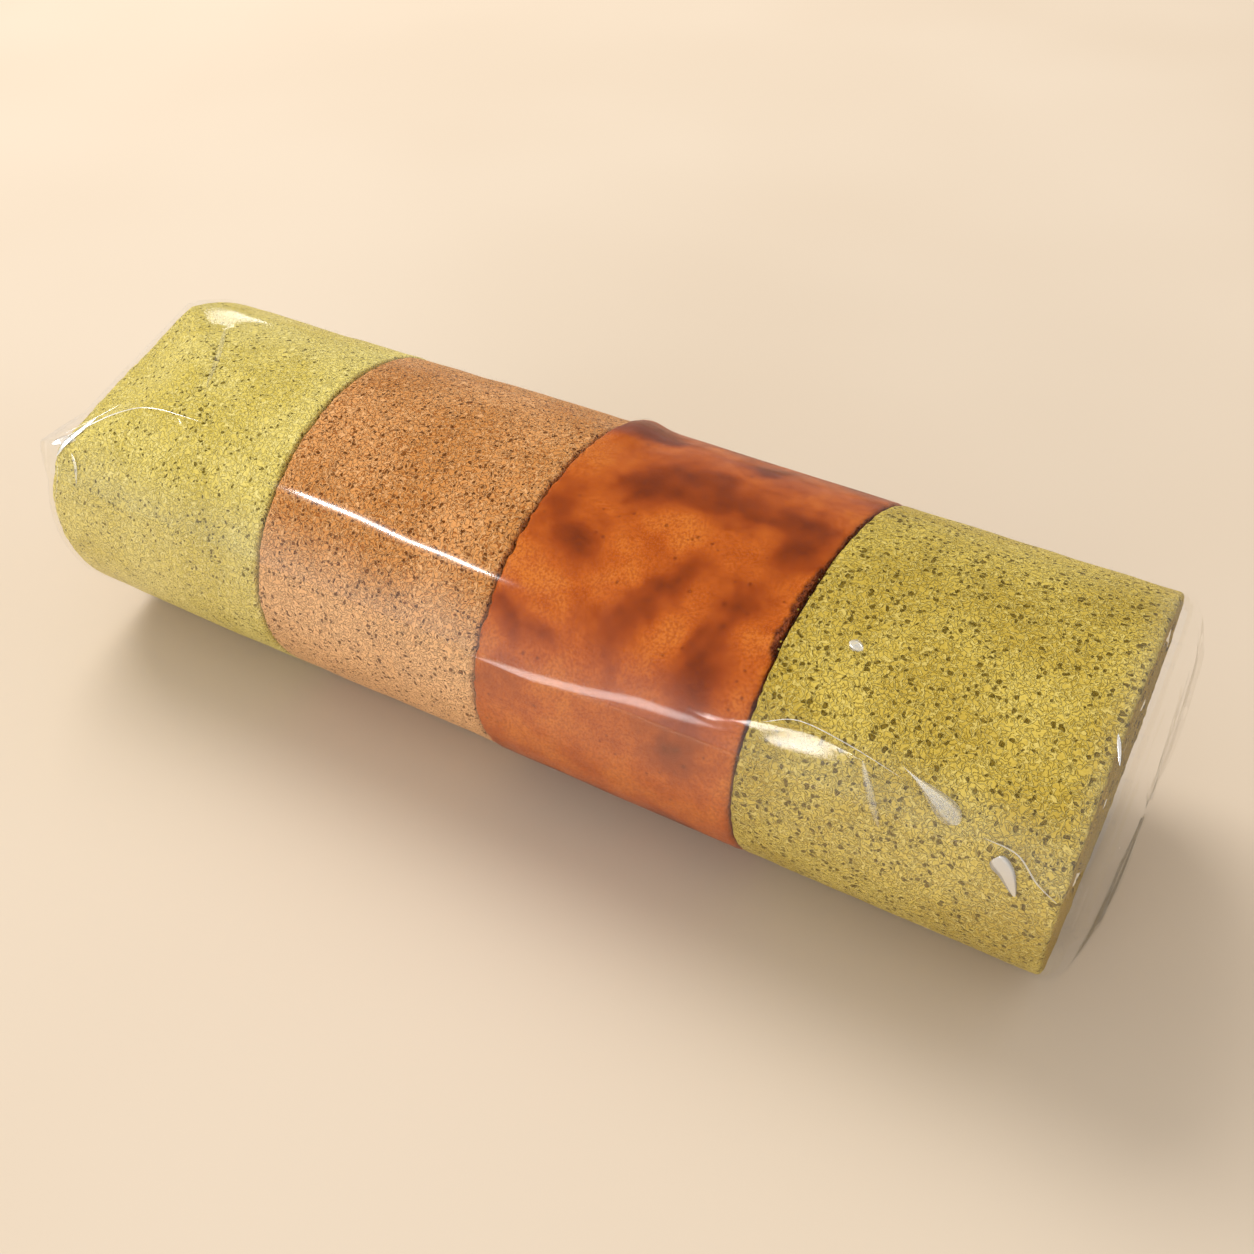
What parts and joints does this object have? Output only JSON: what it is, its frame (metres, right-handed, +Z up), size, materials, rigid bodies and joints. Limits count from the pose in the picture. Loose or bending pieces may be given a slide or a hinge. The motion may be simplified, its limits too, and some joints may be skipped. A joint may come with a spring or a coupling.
{
  "type": "swiss roll cake",
  "caption": "Long swiss roll cake in a clear wrap, with matcha, coffee and tiger skin sponge rolls end to end round a spiral of cream.",
  "frame": {"origin": "under the middle of the roll, on the surface that it rests on", "axes": "+X along the roll to its right-hand end in the picture, +Y to the back, +Z up"},
  "size_m": [0.2989, 0.1015, 0.082],
  "materials": {
    "matcha_sponge": "matt, porous and fibrous",
    "coffee_sponge": "matt, porous and fibrous",
    "tiger_skin": "satin, browned and blotched",
    "cream": "soft satin",
    "clear_film": "clear and glossy"
  },
  "bodies": {
    "root": {"matcha_roll_left": "matcha_sponge", "coffee_roll": "coffee_sponge", "tiger_skin_roll": "tiger_skin", "matcha_roll_right": "matcha_sponge", "cream_filling": "cream", "clear_wrap": "clear_film"}
  },
  "joints": []
}
